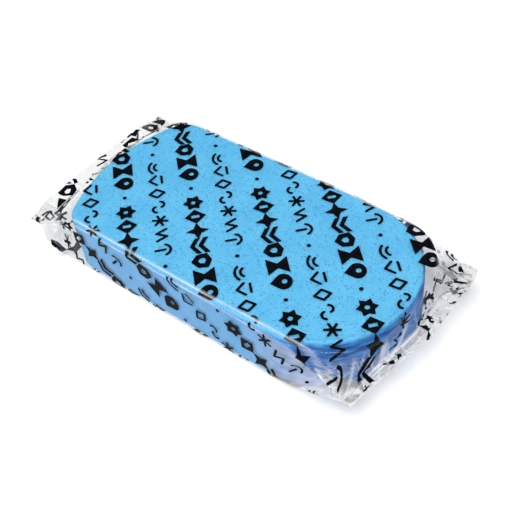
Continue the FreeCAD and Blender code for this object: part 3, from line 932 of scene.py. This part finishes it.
def drop():
    """A water drop: a round foot and a pointed top."""
    out = []
    for k in range(24):
        a = 2 * math.pi * k / 24
        taper = max(0.0, math.sin(a)) ** 3
        x = 0.46 * math.cos(a) * (1 - 0.75 * taper)
        out.append((x, -0.08 + 0.42 * math.sin(a) + 0.18 * taper))
    return out


def chevron(lift):
    upper = [(-0.5, lift), (0.0, lift + 0.3), (0.5, lift)]
    lower = [(0.5, lift - 0.24), (0.0, lift + 0.06), (-0.5, lift - 0.24)]
    return upper + lower


def diamond(wide, tall):
    return [(-wide, 0.0), (0.0, tall), (wide, 0.0), (0.0, -tall)]


def block(wide, tall):
    return [(-wide, tall), (wide, tall), (wide, -tall), (-wide, -tall)]


def hourglass():
    return [(-0.5, 0.5), (0.5, 0.5), (0.14, 0.0), (0.5, -0.5), (-0.5, -0.5), (-0.14, 0.0)]


# Each heavy mark is a list of solid shapes and a list of holes, in units of its size.
HEAVY_MARKS = (
    ([drop()], [circle(0.0, -0.14, 0.13)]),
    ([hourglass()], []),
    ([star(3, 0.52, 0.46)], [star(3, 0.2, 0.17)]),
    ([chevron(0.18), chevron(-0.22)], []),
    ([star(4, 0.56, 0.24)], []),
    ([diamond(0.48, 0.52)], [block(0.1, 0.2)]),
    ([star(6, 0.52, 0.34)], [circle(0.0, 0.0, 0.12)]),
)


def stroke(points, width):
    """The outline polygons of a line drawn with a round pen."""
    shapes = []
    for (x0, y0), (x1, y1) in zip(points, points[1:]):
        half = width / 2 / math.hypot(x1 - x0, y1 - y0)
        nx, ny = -(y1 - y0) * half, (x1 - x0) * half
        near = [(x0 + nx, y0 + ny), (x1 + nx, y1 + ny)]
        shapes.append(near + [(x1 - nx, y1 - ny), (x0 - nx, y0 - ny)])
    shapes += [circle(x, y, width / 2, 10) for x, y in points]
    return shapes


def spokes(radius, count, start=0.3):
    """Lines that cross in the middle, at even angles."""
    lines = []
    for k in range(count):
        a = start + k * math.pi / count
        tip = (radius * math.cos(a), radius * math.sin(a))
        lines.append([tip, (-tip[0], -tip[1])])
    return lines


# Each fine mark is a list of lines, in units of its size.
FINE_LINES = (
    [arc_line(0, 0, 0.42, 200, 340), [(0.0, -0.1), (0.0, 0.45)]],
    [[(-0.45, 0.3), (-0.15, -0.3), (0.15, 0.3), (0.45, -0.3)]],
    spokes(0.42, 3),
    [arc_line(-0.2, 0.1, 0.25, 20, 170), arc_line(0.2, -0.1, 0.25, 200, 350)],
    [[(0.0, 0.45), (0.36, 0.0), (0.0, -0.45), (-0.36, 0.0), (0.0, 0.45)]],
    [[(-0.42, -0.05), (0.0, 0.38), (0.42, -0.05)], [(-0.3, -0.38), (0.3, -0.38)]],
    [arc_line(0, -0.35, 0.36, 35, 145), arc_line(0, -0.35, 0.68, 45, 135)],
)


def inside(shape, points):
    """Which points lie in a polygon."""
    corners = np.array(shape)
    result = np.zeros(len(points), bool)
    for (x0, y0), (x1, y1) in zip(corners, np.roll(corners, -1, axis=0)):
        crosses = (y0 > points[:, 1]) != (y1 > points[:, 1])
        if y0 == y1:
            continue
        at = (x1 - x0) * (points[:, 1] - y0) / (y1 - y0) + x0
        result ^= crosses & (points[:, 0] < at)
    return result


def inked(solids, holes, size, points):
    """Which points lie in a mark: in one of its solid shapes and in none of its holes."""
    result = np.zeros(len(points), bool)
    for shape in solids:
        result |= inside(np.array(shape) * size, points)
    for shape in holes:
        result &= ~inside(np.array(shape) * size, points)
    return result


def flat_mark(solids, holes, size):
    """Triangles of a mark, fine enough to follow the folds: (points, triangles)."""
    points, edges = [], []
    for shape in [*solids, *holes]:
        start = len(points)
        points += [Vector((x * size, y * size)) for x, y in shape]
        edges += [(start + k, start + (k + 1) % len(shape)) for k in range(len(shape))]
    ticks = np.arange(-0.5 * size, 0.5 * size + 0.01, MARK_TICK)
    grid = np.array([(x, y) for x in ticks for y in ticks])
    points += [Vector(p) for p in grid[inked(solids, holes, size, grid)]]
    verts, _, faces, *_ = geometry.delaunay_2d_cdt(points, edges, [], 0, 1e-5)
    places = np.array([tuple(v) for v in verts])
    triangles = np.array([f for f in faces if len(f) == 3])
    middle = places[triangles].mean(axis=1)
    return places, triangles[inked(solids, holes, size, middle)]


HEAVY = [flat_mark(solids, holes, HEAVY_SIZE) for solids, holes in HEAVY_MARKS]
FINE = [
    flat_mark([s for line in lines for s in stroke(line, FINE_STROKE / FINE_SIZE)], [], FINE_SIZE)
    for lines in FINE_LINES
]
DOT = flat_mark([circle(0, 0, DOT_RADIUS, 14)], [], 1.0)


def printed_marks():
    """Every mark on the web, as (kind, triangle points on the flat web, triangles)."""
    period = np.linalg.norm(ALONG_COLUMN)
    right = -ALONG_COLUMN / period
    up = np.array([-right[1], right[0]])
    for kind, marks, shift in (("heavy", HEAVY, np.zeros(2)), ("fine", FINE, FINE_OFFSET)):
        lead = (period - (len(marks) - 1) * MARK_PITCH) / 2
        # The columns reach past the web on all sides, and what is off it is dropped.
        for i in range(-9, 16):
            for j in range(-8, 9):
                dot = PRINT_ORIGIN + shift + i * COLUMN_TO_COLUMN + j * ALONG_COLUMN
                places = [(dot, DOT)]
                for k, mark in enumerate(marks):
                    places.append((dot + right * (lead + k * MARK_PITCH), mark))
                for centre, (points, triangles) in places:
                    if abs(centre[0]) > PRINT_END or abs(centre[1]) > PRINT_EDGE:
                        continue
                    flat = centre + points[:, :1] * right + points[:, 1:] * up
                    yield kind, flat, triangles


def ink_gap(along, across):
    """How far inside the film the ink lies: less than nothing on the sides and the ends."""
    far = np.abs(across)
    on_side = smooth_step(far, HALF_WIDTH, HALF_WIDTH + 1)
    on_side = on_side * (1 - smooth_step(far, SIDE_FOOT - 2, SIDE_FOOT - 1))
    flat_end = np.where(along > 0, flat_reach(across, 1), -flat_reach(across, -1))
    outside = np.maximum(on_side, smooth_step(np.abs(along) - flat_end, 0, 2))
    return INK_GAP * (1 - 2 * outside)[:, None]


def shaken(along, across):
    """Places of the print, drawn out of line where the ends of the film are crumpled."""
    if not (np.abs(along) > SHAKEN_PAST).any():
        return along, across
    shake = smooth_step(np.abs(along), 52, 62) * np.where(along > 0, 1.0, 0.5)
    along = along + 1.4 * shake * noise(along / 3.2, across / 2.6, 51)
    return along, across + 2.2 * shake * noise(along / 3.4, across / 3.4, 52)


def on_film(along, across):
    """Which places are on the web, and not lost in the crumples of the right fin."""
    left_edge = np.interp(across, WEB, LENGTHS[0])
    right_edge = np.interp(across, WEB, LENGTHS[-1])
    off = (along > right_edge - CUT_MARGIN) | (along < left_edge + CUT_MARGIN)
    broken = (noise(along / 1.5, across / 1.5, 53) > 0.12) & (along > BROKEN_PAST)
    return ~off & ~broken


def print_pieces():
    """The ink, in one piece for the pack and one for each end fin."""
    left_mouth, right_mouth = ROWS["left_mouth"], ROWS["right_mouth"]
    sets = {name: ([], []) for name in ("pack", "left_fin", "right_fin")}
    for kind, flat, triangles in printed_marks():
        along, across = shaken(flat[:, 0], flat[:, 1])
        if (np.abs(across) > GIRTH_HALF - SEAM_MARGIN[kind]).any():
            continue
        if kind == "heavy" and along.mean() < BARE_BEYOND and across.mean() < -HALF_WIDTH:
            continue
        whole = on_film(along, across)[triangles].all(axis=1)
        if not whole.any():
            continue
        places, row = on_web(along, across, ink_gap(along, across))
        middle = row[triangles].mean(axis=1)
        for name, chosen in (
            ("left_fin", middle < left_mouth),
            ("pack", (middle >= left_mouth) & (middle <= right_mouth)),
            ("right_fin", middle > right_mouth),
        ):
            used, index = np.unique(triangles[chosen & whole], return_inverse=True)
            points, faces = sets[name]
            faces.append(index.reshape(-1, 3) + sum(map(len, points)))
            points.append(places[used])
    return {
        name: new_mesh(f"print_{name}", np.concatenate(points), np.concatenate(faces).tolist(), INK)
        for name, (points, faces) in sets.items()
    }


# ------------ the whole pack

SEAM_INSET = 0.5  # the back seam ends this far inside its CAD solid


def column_at(distance):
    return int(round((distance + GIRTH_HALF) / (WEB[1] - WEB[0])))


def declare_sheet(row_span, column_span):
    """Reads the lengths along the flat web at a panel's first and last rows; nothing is done with
    them.
    """
    first, last = (LENGTHS[row, column_span[0] : column_span[1] + 1] for row in row_span)


def wrapper(seam):
    """Every film panel: the sleeve's panels ride on the pack, the end panels stay where they are,
    and each stands for its CAD nodes, which are hidden.
    """
    upper, lower = column_at(HALF_WIDTH), column_at(SIDE_FOOT)
    near_upper, near_lower = column_at(-HALF_WIDTH), column_at(-SIDE_FOOT)
    last = len(WEB) - 1
    sleeve = (ROWS["left_mouth"], ROWS["right_mouth"])
    ends = {"left": (0, sleeve[0]), "right": (sleeve[1], len(GRID) - 1)}
    panels = [
        ("film_top", sleeve, (near_upper, upper), "pack", ["wrapper_top_panel"]),
        ("film_near_side", sleeve, (near_lower, near_upper), "pack", ["wrapper_near_side"]),
        ("film_far_side", sleeve, (upper, lower), "pack", ["wrapper_far_side"]),
        ("film_base_near", sleeve, (0, near_lower), "pack", ["wrapper_base_near"]),
        ("film_base_far", sleeve, (lower, last), "pack", ["wrapper_base_far"]),
    ]
    for hand, rows in ends.items():
        folds = ("upper_fold", "lower_fold", "near_tuck", "far_tuck", "fin")
        nodes = [f"{hand}_end_{fold}" for fold in folds]
        panels.append((f"film_{hand}_end", rows, (0, last), f"{hand}_fin", nodes))
    for name, rows, columns, body, nodes in panels:
        piece = film_piece(name, rows, columns)
        declare_sheet(rows, columns)
        put_on(piece, body)
        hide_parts(*nodes)


def put_on(piece, body):
    """Fixes a piece to the pack; any other piece only has its transform baked into its points."""
    if body == "pack":
        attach(piece, body)
        return
    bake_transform(piece)


def back_seam():
    """The web's edges, welded face to face and folded flat under the slab."""
    low, high = box_mm("wrapper_back_seam")
    rows, columns = 150, 16
    xs = np.linspace(low[0] + SEAM_INSET, high[0] - SEAM_INSET, rows)
    ys = np.linspace(low[1], high[1], columns)
    x, y = np.meshgrid(xs, ys, indexing="ij")
    z = 0.12 + 0.06 * creases(x / 1.6, y / 30, 61) + 0.05 * noise(x / 6, y / 4, 62)
    points = np.stack([x, y, np.clip(z, 0.0, 0.4)], axis=-1).reshape(-1, 3)
    piece = new_mesh("film_back_seam", points, quads(rows, columns), FILM)
    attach(piece, "pack")
    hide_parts("wrapper_back_seam")
    return piece


def pack():
    slab = clay_slab()
    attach(slab, "pack")
    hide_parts("clay_bar")
    wrapper(back_seam())
    for body, piece in print_pieces().items():
        put_on(piece, body)


# ------------ the stage

LAMP_TARGET = (0, 0, 10)
FLAG_TOWARDS = (-0.471, 0.495, 0.730)  # where the dark flag hangs


def floor():
    half = 1500.0
    points = [(-half, -half, 0), (half, -half, 0), (half, half, 0), (-half, half, 0)]
    ground = new_mesh("floor", points, [(0, 1, 2, 3)], floor_material())


def lamp(name, place, width, height, power):
    """A soft rectangular lamp that faces the middle of the pack."""
    data = bpy.data.lights.new(name, "AREA")
    data.shape = "RECTANGLE"
    data.size, data.size_y = width * MM, height * MM
    data.energy = power
    light = bpy.data.objects.new(name, data)
    bpy.context.scene.collection.objects.link(light)
    light.location = Vector(place) * MM
    aim = (Vector(LAMP_TARGET) - Vector(place)) * MM
    light.rotation_euler = aim.to_track_quat("-Z", "Y").to_euler()


def studio():
    """A pale tent all round, with a dark flag that the flat film mirrors, and four soft lamps."""
    world = bpy.data.worlds.new("studio")
    bpy.context.scene.world = world
    world.use_nodes = True
    tree = world.node_tree
    background = tree.nodes["Background"]
    feed(tree, background.inputs["Color"], WHITE)
    towards = add(tree, "VectorMath")
    towards.operation = "DOT_PRODUCT"
    way = add(tree, "TexCoord").outputs["Generated"]
    tree.links.new(way, towards.inputs[0])
    towards.inputs[1].default_value = FLAG_TOWARDS
    bright = ramp(tree, towards.outputs["Value"], 0.80, 0.95, 0.5, 0.02)
    tree.links.new(bright, background.inputs["Strength"])
    lamp("key", (160, -300, 760), 420, 420, 5.0)
    lamp("crease", (-400, -330, 560), 200, 260, 0.7)
    lamp("front", (-260, -620, 260), 300, 160, 0.4)
    lamp("back", (260, 640, 420), 420, 120, 1.0)


def camera():
    az, el = math.radians(CAMERA_AZIMUTH), math.radians(CAMERA_ELEVATION)
    forward = Vector((-math.sin(az) * math.cos(el), math.cos(az) * math.cos(el), -math.sin(el)))
    level = forward.cross(Vector((0, 0, 1))).normalized()
    above = level.cross(forward)
    roll = math.radians(CAMERA_ROLL)
    right = level * math.cos(roll) + above * math.sin(roll)
    up = above * math.cos(roll) - level * math.sin(roll)
    data = bpy.data.cameras.new("camera")
    data.lens, data.sensor_width = CAMERA_LENS, SENSOR_WIDTH
    view = bpy.data.objects.new("camera", data)
    bpy.context.scene.collection.objects.link(view)
    axes = Matrix((right, up, -forward)).transposed().to_4x4()
    view.matrix_world = Matrix.Translation(Vector(CAMERA_PLACE) * MM) @ axes
    bpy.context.scene.camera = view


camera()
studio()
floor()
pack()

bpy.context.scene.view_settings.view_transform = "Standard"
bpy.context.scene.cycles.transparent_max_bounces = 32
